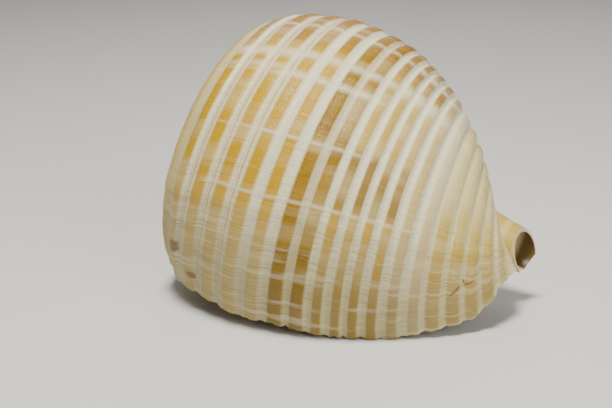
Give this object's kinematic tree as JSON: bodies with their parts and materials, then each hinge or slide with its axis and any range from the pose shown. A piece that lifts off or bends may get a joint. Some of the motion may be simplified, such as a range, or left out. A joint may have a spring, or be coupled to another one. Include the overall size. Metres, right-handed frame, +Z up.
{
  "type": "tun shell",
  "caption": "Empty globose sea snail shell, thin walled, with broad spiral ribs, a low spire, a wide open aperture and a short spout, lying aperture down.",
  "frame": {"origin": "centre of the bounding box at floor height, under the shell as it lies aperture down", "axes": "+Z up, +X from the spire towards the spout along the floor, so the long way of the shell, +Y to the side away from the free outer lip"},
  "size_m": [0.0976, 0.0876, 0.0736],
  "materials": {
    "shell": "natural shell, ochre ribs over cream, satin gloss"
  },
  "bodies": {
    "root": {"shell": "shell"}
  },
  "joints": []
}
